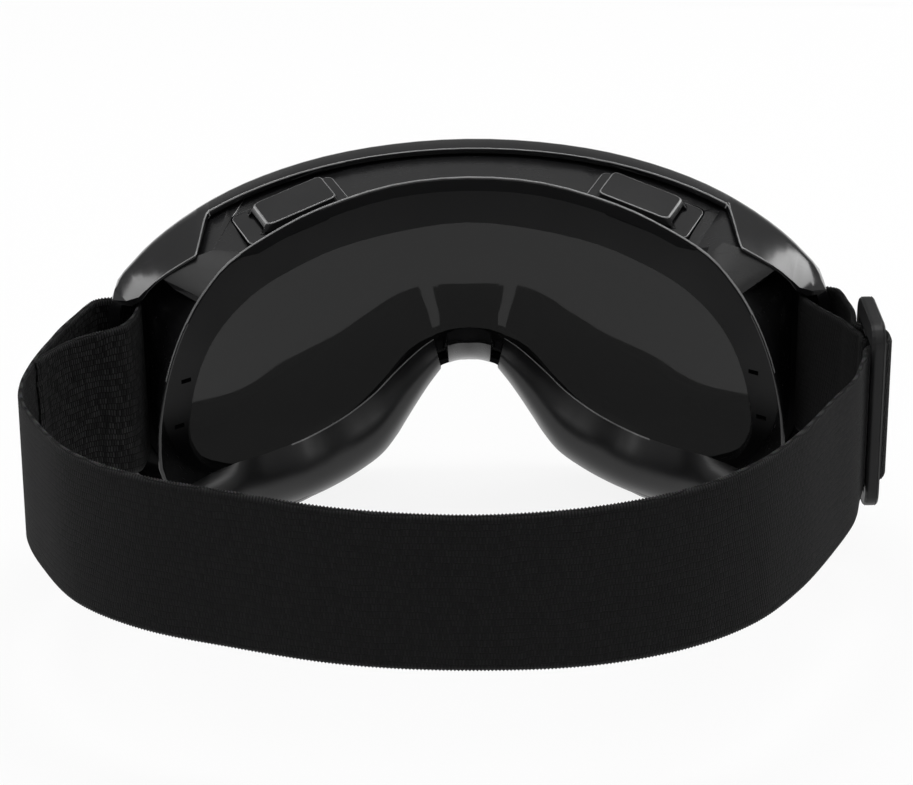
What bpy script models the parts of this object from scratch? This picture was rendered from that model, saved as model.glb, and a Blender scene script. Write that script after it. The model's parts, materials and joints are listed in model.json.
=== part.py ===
# Welding goggles: a soft face body, a hard front bezel that holds a wraparound dark lens,
# two covered vents in the top wall and an elastic head strap with a sliding buckle.
# Sizes below are in millimetres. X runs to the right as seen from behind, Y forward, Z up.
# The origin lies on the rest plane, under the middle of the whole object.

import math

import bmesh
import bpy
import numpy as np
from mathutils import Matrix, Vector

MM = 0.001

# Reach of the goggles from the lens axis: up to the brow, down to the lobes under the eyes,
# and back to the middle of the strap
BROW_HEIGHT = 48.6
LOBE_DROP = 40.0
LOOP_BACK = 161.0

# Fits
GAP = 0.3
LOOSE = 0.6
# How far a cutter reaches past the wall it cuts
CUT_REACH = 6.0

# Lens
LENS_RADIUS = 115.0
LENS_THICK = 2.0

# Front bezel
BEZEL_WALL = 1.4
BAR_WALL = 2.7
WING_EDGE = 0.6
WING_STEP = 0.45
CROWN_SLOPE = 0.25
LIP_DEPTH = 1.6
FRONT_ROUND = 1.8
FRONT_CROWN = 0.3
SIDE_ROUND = 3.0
LIP_OVERLAP = 2.6
SEAM_BACK = 5.4
BEZEL_END_BACK = 6.2
WEB_BACK = 3.9
TAIL_Y = -48.2
TAIL_LEAD = 3.7
TAIL_FROM = 4.15
TAIL_LEVEL = 7.0
TAIL_TO = 9.2
TAIL_TURN = 0.13
END_INSET = 0.3
# Inset of the rear edge of a wing from the bezel's outline, at places along that outline
TAIL_INSETS = [(4.15, 3.1), (4.6, 3.5), (5.2, 3.8), (5.6, 4.2), (6.0, 4.3), (6.33, 3.0), (6.66, END_INSET)]
SLOT_WIDTH = 4.2
BAR_DEPTH = 4.6

# Face body
PLATE_THICK = 2.6
PLATE_RIM = 0.7
PLATE_SIDE_RIM = 1.8
BODY_WALL = 2.3
LOW_WALL = 1.6
LIP_EDGE = 1.0
RIM_ROUND = 0.45
ROLL_ROUND = 5.6
ROLL_WALL = 1.5
RIDGE_FROM = 5.17
RIDGE_TO = 5.5
TEMPLE_RISE = 2.0
WALL_MID = 0.86
FLARE = 4.0
FLARE_THIN = 0.7
# Sides of a nose slot: x in the middle of the plate, how it changes per millimetre forward, and
# for the outer side also per millimetre up
NOSE_SLOT_INNER = (7.2, 0.106)
NOSE_SLOT_OUTER = (9.74, 0.091, 0.246)
NOSE_SLOT_LOW = -5.0
# Y of the open rear end of a nose slot and of its front end, which stops short of the plate
NOSE_SLOT_ENDS = (-28.0, -5.5)
SLIT_SIZE = (2.2, 1.1)
SLIT_PLACES = ((69.4, -3.4), (71.5, -14.8))

# Vents
VENT_ALONG = 2.55
VENT_ACROSS = 0.63
POCKET_DEPTH = 1.0
BASE_SIZE = (26.8, 14.2)
BASE_PROUD = 0.8
BASE_CORNER = 2.0
SPIGOT_SIZE = (16.4, 8.4)
SPIGOT_DROP = 3.3
SPIGOT_CORNER = 1.2
GRILLE_SLOTS = 4
GRILLE_SLOT = (2.4, 6.0)
CAP_TOP = (18.0, 10.5)
CAP_SLOPE = 2.1
CAP_DRAFT = 0.4
CAP_HEIGHT = 1.8
CAP_WALL = 0.8
CAP_CORNER = 1.2
CAP_SHIFT = (-1.5, 0.3)
CAP_MOUTH = (8.0, 0.8)

# Strap
STRAP_WIDTH = 34.0
STRAP_THICK = 1.4
STRAP_MID_Z = 6.7

# Buckle: a flat three-bar slide
BUCKLE_X = 90.5
BUCKLE_Y = -71.1
BUCKLE_LENGTH = 24.6
BUCKLE_HEIGHT = 44.8
BUCKLE_RISE = 0.8
BUCKLE_THICK = 3.0
BUCKLE_BAR = 3.4
BUCKLE_MID_THICK = 2.2
BUCKLE_CORNER = 5.0
BUCKLE_SLIDE_RADIUS = 72.0

# Where the lens axis lies in the part's frame: over the rest plane, midway from front to back
FRONT_REACH = LENS_THICK + GAP + LIP_DEPTH + FRONT_CROWN
LENS_Y = (LOOP_BACK + STRAP_THICK / 2 - FRONT_REACH) / 2
AXIS_Z = LOBE_DROP


def brow(below):
    """Height of a point a distance below the top of the brow."""
    return BROW_HEIGHT - below


def lobe(above):
    """Height of a point a distance above the bottom of the lobes."""
    return above - LOBE_DROP


def back(ahead):
    """Y of a strap point a distance ahead of the back of the loop."""
    return ahead - LOOP_BACK


# Outlines seen from the front, right half, from the middle of the brow round the side and
# the cheek to the middle of the nose, as (x, z) from the lens axis.
BEZEL_OUTLINE = [
    (0, brow(0)), (18, brow(0.6)), (35, brow(2.3)), (50, brow(5.2)), (62, brow(8.9)),
    (72.6, brow(13.9)), (80.2, brow(19.3)), (84.6, 23), (85.6, 4), (85.6, -13.5), (80.5, lobe(14.5)),
    (69.5, lobe(5)), (54.5, lobe(-0.4)), (40.5, lobe(0.2)), (29, lobe(7)), (19.5, lobe(17.6)),
    (12.5, -13.6), (6.5, -8.9), (0, -7.7),
]
# Edge of the plate on the face body and, less a gap, of the lens that lies on it
SEAT_OUTLINE = [
    (0, brow(2.6)), (17.8, brow(3.2)), (34.4, brow(4.8)), (49, brow(7.5)), (60.5, brow(11.2)),
    (70, brow(16)), (76.2, brow(21.6)), (79.2, 20.5), (79.9, 4), (79.4, -11.8), (75.2, lobe(17.1)),
    (67, lobe(8.1)), (53.8, lobe(2.7)), (41.6, lobe(3.1)), (30.8, lobe(9)), (21.6, lobe(19.4)),
    (14, -11.6), (7, -6.5), (0, -5.3),
]
OPENING_OUTLINE = [
    (0, brow(20.6)), (17, brow(22.3)), (32, 23.4), (43, 19.6), (51, 15.9), (56.5, 12), (60.8, 7.7),
    (64, 3), (66.6, -3), (68.7, -11), (69.4, lobe(19.5)), (64.5, lobe(11)), (54, lobe(9.1)),
    (41, lobe(12.4)), (30.5, lobe(17.9)), (22.5, -14.7), (15, -6.3), (7.6, -2.7), (0, -2),
]
# The flange that meets the face, as (x, z, y)
FLANGE_OUTLINE = [
    (0, brow(0), -29), (18, brow(1.4), -30), (35, brow(5.6), -34), (47, brow(10.4), -38.5),
    (56.4, brow(15.7), -42.5), (62.3, brow(21.8), -46), (66.5, 20.2, -48.5), (69.9, 12.4, -50.5),
    (72.4, 3.7, -52.5), (74, -7, -54), (73.4, -18.5, -54), (67, lobe(10.5), -50),
    (55, lobe(2.6), -39), (42, lobe(2.9), -30), (31, lobe(9.7), -29), (20.5, -21.3, -25),
    (12, -11.2, -23.5), (6.8, -3.8, -21.6), (0, -1.9, -17),
]
STEPS_PER_SPAN = 3
RIM_STEPS = 10
LENS_COLUMNS = 30

# Strap route in plan, as (x, y) from the lens axis: the sewn end inside the left side,
# forward round the left bar, back along the left side and round the back of the head.
LEFT_SEWN_RUN = [(-94.7, -80), (-93.6, -75.5), (-90.4, -68.8), (-86.2, -63.8), (-82.4, -60.4),
                 (-79.8, -56.5)]
BACK_RUN = [(-89.6, -53), (-93.4, -63), (-95.9, -73), (-96.9, -85), (-95.3, -98.5),
            (-90.3, -114), (-81, back(30.5)), (-68, back(19)), (-50, back(10)), (-26, back(2.5)),
            (0, back(0)), (24, back(2.8)), (43, back(10.2)), (57, back(21)), (67.5, back(35)),
            (76.8, -109)]
# Where the strap comes up to the buckle, as distances behind its middle along its sliding arc
BUCKLE_APPROACH = (25.4, 16.9)
# Shares of the way from the right bar to the buckle, sideways and back, of the inner layer
INNER_LAYER = [(0.0, 0.27), (0.2, 0.52), (0.63, 0.757), (1.0, 1.0)]


def bump(u, middle, half_width):
    """1 at the middle, falling smoothly to 0 half_width away."""
    t = abs(u - middle) / half_width
    if t >= 1.0:
        return 0.0
    return 0.5 + 0.5 * math.cos(math.pi * t)


def ease(u, start, end):
    """0 before start and 1 after end, rising smoothly between them."""
    t = min(max((u - start) / (end - start), 0.0), 1.0)
    return t * t * (3 - 2 * t)


def smooth_point(points, u, mirror_ends):
    """Catmull-Rom curve through the points; mirror_ends makes it cross x = 0 squarely."""
    last = len(points) - 1
    i = min(int(u), last - 1)
    t = u - i

    def knot(k):
        if k < 0:
            p = Vector(points[-k])
            return Vector((-p[0], *p[1:])) if mirror_ends else 2 * Vector(points[0]) - p
        if k > last:
            p = Vector(points[2 * last - k])
            return Vector((-p[0], *p[1:])) if mirror_ends else 2 * Vector(points[last]) - p
        return Vector(points[k])

    a, b, c, d = knot(i - 1), knot(i), knot(i + 1), knot(i + 2)
    return 0.5 * (2 * b + (c - a) * t + (2 * a - 5 * b + 4 * c - d) * t * t
                  + (3 * b - a - 3 * c + d) * t * t * t)


def outline_point(points, u, inset=0.0):
    """Point (x, z) on a half outline, moved inset towards the inside of the goggles."""
    p = smooth_point(points, u, True)
    last = len(points) - 1
    if u < 1e-6 or u > last - 1e-6:
        inward = Vector((0.0, -1.0 if u < 1.0 else 1.0))
        return Vector((0.0, p[1])) + inset * inward
    step = 0.02
    before = smooth_point(points, max(u - step, 0.0), True)
    after = smooth_point(points, min(u + step, last), True)
    along = Vector((after[0] - before[0], after[1] - before[1])).normalized()
    return Vector((p[0], p[1])) + inset * Vector((along[1], -along[0]))


def wrap(x):
    """How far the lens's inner face lies behind its middle at x, as a y value."""
    return math.sqrt(LENS_RADIUS ** 2 - x * x) - LENS_RADIUS


def on_wrap(point, ahead):
    """Point at an outline point on a curve concentric with the lens, ahead of its inner face."""
    y = math.sqrt((LENS_RADIUS + ahead) ** 2 - point[0] ** 2) - LENS_RADIUS
    return Vector((point[0], y, point[1]))


def behind(point, distance):
    """Point at an outline point, a distance straight back from the lens's inner face."""
    return Vector((point[0], wrap(point[0]) - distance, point[1]))


def seat_point(u, inset=0.0):
    return outline_point(SEAT_OUTLINE, u, inset)


def wall_inset(u):
    """Inset of the body's tube wall from the edge of its plate, wider at the temples."""
    return PLATE_RIM + PLATE_SIDE_RIM * bump(u, 8.0, 3.0)


def world(points):
    """Lens-axis millimetres to the part's frame in metres."""
    return [Vector((p[0], p[1] + LENS_Y, p[2] + AXIS_Z)) * MM for p in points]


def material(name, colour, roughness, alpha=1.0):
    mat = bpy.data.materials.new(name)
    mat.use_nodes = True
    shader = mat.node_tree.nodes["Principled BSDF"]
    shader.inputs["Base Color"].default_value = (*colour, 1.0)
    shader.inputs["Roughness"].default_value = roughness
    shader.inputs["Metallic"].default_value = 0.0
    shader.inputs["Alpha"].default_value = alpha
    return mat


def finish(bm, name, mat, smooth_angle=35.0, origin=(0.0, 0.0, 0.0)):
    """Turn a bmesh in world metres into a named object whose origin is at the given point."""
    bmesh.ops.recalc_face_normals(bm, faces=bm.faces)
    if bm.calc_volume(signed=True) < 0:
        bmesh.ops.reverse_faces(bm, faces=bm.faces)
    bmesh.ops.translate(bm, verts=bm.verts, vec=-Vector(origin))
    mesh = bpy.data.meshes.new(name)
    bm.to_mesh(mesh)
    bm.free()
    mesh.shade_smooth()
    mesh.set_sharp_from_angle(angle=math.radians(smooth_angle))
    obj = bpy.data.objects.new(name, mesh)
    obj.location = origin
    bpy.context.scene.collection.objects.link(obj)
    if mat:
        mesh.materials.append(mat)
    return obj


def loft(sections, closed):
    """Skin a row of point loops; closed joins the last loop to the first, else caps the ends."""
    bm = bmesh.new()
    rings = [[bm.verts.new(p) for p in section] for section in sections]
    count = len(rings[0])
    pairs = list(zip(rings, rings[1:]))
    if closed:
        pairs.append((rings[-1], rings[0]))
    for first, second in pairs:
        for k in range(count):
            n = (k + 1) % count
            bm.faces.new((first[k], first[n], second[n], second[k]))
    if not closed:
        bm.faces.new(rings[0])
        bm.faces.new(reversed(rings[-1]))
    return bm


def box(bm, low, high):
    """Add a box between two corners, in millimetres of whatever frame the bmesh is in."""
    size = Vector(high) - Vector(low)
    middle = (Vector(high) + Vector(low)) / 2
    place = Matrix.Translation(middle) @ Matrix.Diagonal((*size, 1.0))
    return bmesh.ops.create_cube(bm, size=1.0, matrix=place)["verts"]


def cutter(bm, name):
    obj = finish(bm, name, None)
    obj.hide_render = True
    obj.display_type = "WIRE"
    return obj


def cut(obj, tool):
    mod = obj.modifiers.new(tool.name, "BOOLEAN")
    mod.operation = "DIFFERENCE"
    mod.solver = "EXACT"
    mod.object = tool


def half_stations(extra=()):
    last = len(BEZEL_OUTLINE) - 1
    stations = [k / STEPS_PER_SPAN for k in range(last * STEPS_PER_SPAN + 1)]
    return sorted(stations + list(extra))


def ring(section_at, stations):
    """Sections round the whole outline: the right half, then its mirror image back to the brow."""
    right = [section_at(u) for u in stations]
    left = [[Vector((-p[0], p[1], p[2])) for p in section] for section in reversed(right[1:-1])]
    return [world(section) for section in right + left]


def rest_plane_cutter(name):
    bm = bmesh.new()
    wide, deep = 2 * BUCKLE_X, 2 * LOOP_BACK
    box(bm, (-wide, -deep, -LOBE_DROP), (wide, deep, 0))
    bmesh.ops.scale(bm, vec=(MM, MM, MM), verts=bm.verts)
    return cutter(bm, name)


def bezel_wall(u):
    """Thickness of the bezel's wall, more at the strap bars."""
    return BEZEL_WALL + (BAR_WALL - BEZEL_WALL) * bump(u, 7.4, 2.4)


def tail_inset(u):
    places, insets = zip(*TAIL_INSETS)
    return float(np.interp(u, places, insets))


def tail_y(u):
    """Y of the rear edge of the bezel's tail, further forward towards the brow."""
    return TAIL_Y + TAIL_LEAD * max(TAIL_LEVEL - u, 0.0) / (TAIL_LEVEL - TAIL_FROM)


def edge_wall(u):
    """Thickness of the bezel's rear edge: thin along a wing, thick at its strap bar."""
    thin = ease(u, TAIL_FROM - TAIL_TURN, TAIL_FROM + TAIL_TURN) * (1 - ease(u, 5.4, 6.8))
    return bezel_wall(u) + (WING_EDGE - bezel_wall(u)) * thin


def bezel_section(u):
    b = BEZEL_OUTLINE
    wall = bezel_wall(u)
    lens_front = LENS_THICK + GAP
    front = lens_front + LIP_DEPTH
    slope = CROWN_SLOPE * bump(u, 0.0, 9.0)
    in_tail = (ease(u, TAIL_FROM - TAIL_TURN, TAIL_FROM + TAIL_TURN)
               * (1 - ease(u, TAIL_TO - TAIL_TURN, TAIL_TO + TAIL_TURN)))
    end_inset = END_INSET + (tail_inset(u) - END_INSET) * in_tail
    end_out = outline_point(b, u, end_inset)
    end_in = outline_point(b, u, end_inset + edge_wall(u))
    crown_y = wrap(end_out[0]) - BEZEL_END_BACK
    end_y = crown_y + (tail_y(u) - crown_y) * in_tail
    crown_in = outline_point(b, u, wall)
    return [
        on_wrap(outline_point(b, u, slope + FRONT_ROUND), front + FRONT_CROWN),
        on_wrap(outline_point(b, u, slope + 0.28 * FRONT_ROUND), front - 0.27 * SIDE_ROUND),
        on_wrap(outline_point(b, u, slope), front - SIDE_ROUND),
        behind(outline_point(b, u), SEAM_BACK),
        Vector((end_out[0], end_y, end_out[1])),
        Vector((end_in[0], end_y, end_in[1])),
        behind(crown_in, SEAM_BACK),
        behind(crown_in, WEB_BACK),
        behind(seat_point(u, -GAP), WEB_BACK),
        on_wrap(seat_point(u, -GAP), lens_front),
        on_wrap(seat_point(u, LIP_OVERLAP), lens_front),
        on_wrap(seat_point(u, LIP_OVERLAP), front),
    ]


def bar_faces():
    """Outer and inner x of a strap bar, over the height that the strap covers."""
    reach = STRAP_WIDTH / 2 + LOOSE
    wall = [outline_point(BEZEL_OUTLINE, u) for u in np.linspace(TAIL_FROM, TAIL_TO, 200)]
    wall = [p[0] for p in wall if abs(p[1] - STRAP_MID_Z) < reach]
    return max(wall), min(wall) - BAR_WALL - END_INSET


def build_bezel(mat):
    """Hard bezel: front lip, a wall round the lens's edge and a tail with a strap bar each side."""
    ends = [end + TAIL_TURN * k / 4 for end in (TAIL_FROM, TAIL_TO) for k in range(-4, 5)]
    bm = loft(ring(bezel_section, half_stations(ends)), True)
    obj = finish(bm, "front_bezel", mat)
    bm = bmesh.new()
    outer, inner = bar_faces()
    slot_back = TAIL_Y + BAR_DEPTH
    half = STRAP_WIDTH / 2 + LOOSE
    for side in (-1, 1):
        box(bm, (side * (inner - CUT_REACH / 2), slot_back, STRAP_MID_Z - half),
            (side * (outer + CUT_REACH), slot_back + SLOT_WIDTH, STRAP_MID_Z + half))
    for v in bm.verts:
        v.co = world([v.co])[0]
    cut(obj, cutter(bm, "strap_slots_cutter"))
    cut(obj, rest_plane_cutter("bezel_rest_cutter"))
    return obj


def low_share(u):
    """1 round the cheeks and nose, where the tube wall starts beside the eye opening."""
    return ease(u, 10.2, 12.0)


def brow_share(u):
    """1 over the brow, where the wall fills the bezel, and 0 past the ridge at the temple."""
    return 1.0 - ease(u, RIDGE_FROM, RIDGE_TO)


def wall_start(u, depth):
    """Outline point where the tube wall leaves the plate, at a depth inside its outer face."""
    upper = seat_point(u, wall_inset(u) + depth)
    lower = outline_point(OPENING_OUTLINE, u, depth - LIP_EDGE - LOW_WALL)
    return upper.lerp(lower, low_share(u))


def shoulder(u):
    """Front corner of the wall's outer face, behind the web of the bezel."""
    low = behind(wall_start(u, 0.0), WEB_BACK + 2 * GAP + 0.2)
    inset = END_INSET + bezel_wall(u) + GAP + 0.1
    return low.lerp(behind(outline_point(BEZEL_OUTLINE, u, inset), WEB_BACK + GAP), brow_share(u))


def rim_point(u, step):
    """Point on the flange's edge, from its outer side at step 0 to its inner side at the last.

    Over the brow the edge is a thin half round. Round the cheeks and the nose the wall curls
    outward and down: four points lie under the curl, and the others on the skin that is seen."""
    outline = [q[:2] for q in FLANGE_OUTLINE]
    flange_y = smooth_point(FLANGE_OUTLINE, u, True)[2]

    def on_round(radius, middle, angle):
        p = outline_point(outline, u, middle - radius * math.cos(angle))
        return Vector((p[0], flange_y + middle - radius * math.sin(angle), p[1]))

    thin = on_round(RIM_ROUND, RIM_ROUND, math.pi * step / RIM_STEPS)
    roll = ROLL_ROUND * (1 - 0.35 * ease(u, 15.6, 17.0))
    under = RIM_STEPS - 7
    if step <= under:
        curled = on_round(roll - ROLL_WALL, roll, math.radians(150) * (1 - step / under))
    else:
        curled = on_round(roll, roll, math.radians(150) * (step - under - 1) / 6)
    return thin.lerp(curled, ease(u, 9.8, 12.0))


def wall_middle(u, front, rear, depth):
    """Point on the wall where the flange flares out of it, raised to the wing at the temple."""
    straight = front.lerp(rear, WALL_MID)
    flare = (FLARE - (FLARE_THIN if depth else 0.0)) * (1.0 - ease(u, 3.4, 4.3))
    before, after = outline_point(BEZEL_OUTLINE, u), outline_point(BEZEL_OUTLINE, u, flare)
    straight += Vector((after[0] - before[0], 0, after[1] - before[1]))
    inset = tail_inset(u) + WING_EDGE + WING_STEP
    raised = outline_point(BEZEL_OUTLINE, u, inset + 0.7 * depth)
    flange_y = smooth_point(FLANGE_OUTLINE, u, True)[2]
    y = max(tail_y(u) + WING_STEP, flange_y + TEMPLE_RISE) + 0.8 * depth
    share = ease(u, 3.5, 4.2) * brow_share(u)
    return straight.lerp(Vector((raised[0], y, raised[1])), share)


def body_section(u):
    plate_back = -GAP - PLATE_THICK
    thick = BODY_WALL + (LOW_WALL - BODY_WALL) * low_share(u)
    rim = [rim_point(u, k) for k in range(RIM_STEPS + 1)]
    inner_front = on_wrap(wall_start(u, thick), plate_back)
    return [
        on_wrap(wall_start(u, 0.0), plate_back),
        behind(wall_start(u, 0.0), WEB_BACK + GAP),
        shoulder(u),
        wall_middle(u, shoulder(u), rim[0], 0.0),
        *rim,
        wall_middle(u, inner_front, rim[-1], thick),
        inner_front,
        on_wrap(outline_point(OPENING_OUTLINE, u), plate_back),
        on_wrap(outline_point(OPENING_OUTLINE, u), -GAP),
        on_wrap(seat_point(u), -GAP),
        on_wrap(seat_point(u), plate_back),
    ]


def vent_frame(side):
    """Frame on the top wall: X outboard along the wall, Y towards the lens, Z out of the wall."""
    def wall_point(u, v):
        front = shoulder(u)
        return front.lerp(wall_middle(u, front, rim_point(u, 0), 0.0), v)

    origin = wall_point(VENT_ALONG, VENT_ACROSS)
    along = wall_point(VENT_ALONG + 0.6, VENT_ACROSS) - wall_point(VENT_ALONG - 0.6, VENT_ACROSS)
    along.normalize()
    ahead = wall_point(VENT_ALONG, 0.2) - wall_point(VENT_ALONG, 0.8)
    ahead = (ahead - along * ahead.dot(along)).normalized()
    out = along.cross(ahead).normalized()
    place = Matrix((along, ahead, out)).transposed().to_4x4()
    place.translation = origin
    if side < 0:
        place = Matrix.Diagonal((-1, 1, 1, 1)) @ place
    return place


def place_vent(bm, side):
    """Move a bmesh from a vent's own frame in millimetres to the part's frame in metres."""
    matrix = vent_frame(side)
    for v in bm.verts:
        v.co = world([matrix @ v.co])[0]


def rounded_plate(bm, size, low, high, corner, steps=4):
    """Add a plate with rounded corners, centred on the frame's Z axis."""
    half_x, half_y = size[0] / 2 - corner, size[1] / 2 - corner
    loop = []
    for quarter, (sx, sy) in enumerate(((1, 1), (-1, 1), (-1, -1), (1, -1))):
        for k in range(steps + 1):
            angle = math.pi / 2 * (quarter + k / steps)
            loop.append((sx * half_x + corner * math.cos(angle),
                         sy * half_y + corner * math.sin(angle)))
    bottom = [bm.verts.new((x, y, low)) for x, y in loop]
    top = [bm.verts.new((x, y, high)) for x, y in loop]
    bm.faces.new(reversed(bottom))
    bm.faces.new(top)
    for k in range(len(loop)):
        n = (k + 1) % len(loop)
        bm.faces.new((bottom[k], bottom[n], top[n], top[k]))


def nose_slot(side, z):
    """Outline in plan, at one height, of the cutter for a slot beside the nose."""
    lean = NOSE_SLOT_OUTER[2] * max(z, NOSE_SLOT_LOW)
    ends = []
    for y in NOSE_SLOT_ENDS:
        inner = NOSE_SLOT_INNER[0] + NOSE_SLOT_INNER[1] * y
        outer = NOSE_SLOT_OUTER[0] + NOSE_SLOT_OUTER[1] * y + lean
        ends.append([(side * inner, y, z), (side * outer, y, z)])
    return world([ends[0][0], ends[0][1], ends[1][1], ends[1][0]])


def build_body(mat):
    """Soft moulded body: flange, tube wall and the plate that the lens lies against."""
    bm = loft(ring(body_section, half_stations((RIDGE_FROM, RIDGE_TO))), True)
    obj = finish(bm, "face_body", mat)
    for side in (-1, 1):
        bm = bmesh.new()
        rounded_plate(bm, [s + 2 * GAP for s in BASE_SIZE], -POCKET_DEPTH, CUT_REACH,
                      BASE_CORNER + GAP)
        place_vent(bm, side)
        cut(obj, cutter(bm, "vent_pocket_cutter"))
        bm = bmesh.new()
        rounded_plate(bm, [s + 2 * GAP for s in SPIGOT_SIZE], -CUT_REACH, CUT_REACH,
                      SPIGOT_CORNER + GAP)
        place_vent(bm, side)
        cut(obj, cutter(bm, "vent_hole_cutter"))
        bm = loft([nose_slot(side, z) for z in (-16.0, NOSE_SLOT_LOW, 10.0)], False)
        cut(obj, cutter(bm, "nose_slot_cutter"))
        for x, z in SLIT_PLACES:
            bm = bmesh.new()
            y = wrap(x)
            box(bm, (side * x - SLIT_SIZE[0] / 2, y - 6, z - SLIT_SIZE[1] / 2),
                (side * x + SLIT_SIZE[0] / 2, y + 3, z + SLIT_SIZE[1] / 2))
            for v in bm.verts:
                v.co = world([v.co])[0]
            cut(obj, cutter(bm, "snap_slit_cutter"))
    cut(obj, rest_plane_cutter("body_rest_cutter"))
    return obj


def build_lens(mat):
    """Wraparound lens: a cylindrical sheet, so each column is straight from edge to edge."""
    last = len(SEAT_OUTLINE) - 1
    edge = [seat_point(u, GAP) for u in np.linspace(0.0, last, 40 * last + 1)]
    xs = np.array([p[0] for p in edge])
    zs = np.array([p[1] for p in edge])
    widest = int(np.argmax(xs))
    end_x = xs[widest] - 0.1

    def column(x):
        top = float(np.interp(abs(x), xs[:widest + 1], zs[:widest + 1]))
        bottom = float(np.interp(abs(x), xs[widest:][::-1], zs[widest:][::-1]))
        back = wrap(x)
        front = math.sqrt((LENS_RADIUS + LENS_THICK) ** 2 - x * x) - LENS_RADIUS
        return world([(x, back, bottom), (x, back, top), (x, front, top), (x, front, bottom)])

    turns = np.linspace(-math.pi / 2, math.pi / 2, 2 * LENS_COLUMNS + 1)
    return finish(loft([column(end_x * math.sin(t)) for t in turns], False), "lens", mat)


def build_vent(side, word, base_mat, cap_mat):
    """One vent: a base with a grille, pressed into the wall, and a cover that shields it."""
    bm = bmesh.new()
    rounded_plate(bm, BASE_SIZE, -POCKET_DEPTH + GAP, BASE_PROUD, BASE_CORNER)
    place_vent(bm, side)
    base = finish(bm, "vent_base_" + word, base_mat)
    bm = bmesh.new()
    rounded_plate(bm, SPIGOT_SIZE, -SPIGOT_DROP, 0.0, SPIGOT_CORNER)
    place_vent(bm, side)
    spigot = cutter(bm, "spigot_" + word)
    mod = base.modifiers.new("spigot", "BOOLEAN")
    mod.operation = "UNION"
    mod.solver = "EXACT"
    mod.object = spigot
    bm = bmesh.new()
    pitch = (SPIGOT_SIZE[0] - SPIGOT_CORNER) / GRILLE_SLOTS
    for k in range(GRILLE_SLOTS):
        x = (k - (GRILLE_SLOTS - 1) / 2) * pitch
        box(bm, (x - GRILLE_SLOT[0] / 2, -GRILLE_SLOT[1] / 2, -CUT_REACH),
            (x + GRILLE_SLOT[0] / 2, GRILLE_SLOT[1] / 2, CUT_REACH))
    place_vent(bm, side)
    cut(base, cutter(bm, "grille_cutter_" + word))

    foot_z = BASE_PROUD + GAP
    bm = bmesh.new()
    half_x, half_y = CAP_TOP[0] / 2, CAP_TOP[1] / 2
    verts = box(bm, (-half_x, -half_y, foot_z), (half_x, half_y, foot_z + CAP_HEIGHT))
    for v in verts:
        if v.co.z < foot_z + CAP_HEIGHT / 2:
            v.co.x += CAP_SLOPE if v.co.x > 0 else -CAP_DRAFT
            v.co.y += CAP_DRAFT if v.co.y > 0 else -CAP_DRAFT
    uprights = [e for e in bm.edges
                if abs(e.verts[0].co.z - e.verts[1].co.z) > CAP_HEIGHT / 2]
    bmesh.ops.bevel(bm, geom=uprights, offset=CAP_CORNER, segments=2, affect="EDGES", profile=0.5)
    bmesh.ops.translate(bm, verts=bm.verts, vec=(*CAP_SHIFT, 0))
    place_vent(bm, side)
    cap = finish(bm, "vent_cap_" + word, cap_mat)
    bm = bmesh.new()
    box(bm, (-half_x + CAP_WALL, -half_y + CAP_WALL, foot_z - 1),
        (half_x - CAP_WALL, half_y - CAP_WALL, foot_z + CAP_HEIGHT - CAP_WALL))
    bmesh.ops.translate(bm, verts=bm.verts, vec=(*CAP_SHIFT, 0))
    place_vent(bm, side)
    cut(cap, cutter(bm, "cap_hollow_cutter_" + word))
    bm = bmesh.new()
    box(bm, (0, -CAP_MOUTH[0] / 2, foot_z - 1),
        (CAP_TOP[0], CAP_MOUTH[0] / 2, foot_z + CAP_MOUTH[1]))
    place_vent(bm, side)
    cut(cap, cutter(bm, "cap_mouth_cutter_" + word))


def arc(centre, radius, start, end, steps):
    """Points on an arc in plan, angles in degrees from +X."""
    angles = np.linspace(math.radians(start), math.radians(end), steps + 1)
    return [(centre[0] + radius * math.cos(a), centre[1] + radius * math.sin(a)) for a in angles]


def bar_loop(side):
    """The strap's turn round one bezel bar, from outside the bar to inside it."""
    outer, inner = bar_faces()
    lay = GAP + STRAP_THICK / 2
    front = TAIL_Y + BAR_DEPTH
    turn = arc((outer, front), lay, 0, 90, 4) + arc((inner, front), lay, 90, 180, 4)
    ends = [(outer + lay, TAIL_Y + 1.0)], [(inner - lay, TAIL_Y + 1.0)]
    return [(side * x, y) for x, y in ends[0] + turn + ends[1]]


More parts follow.
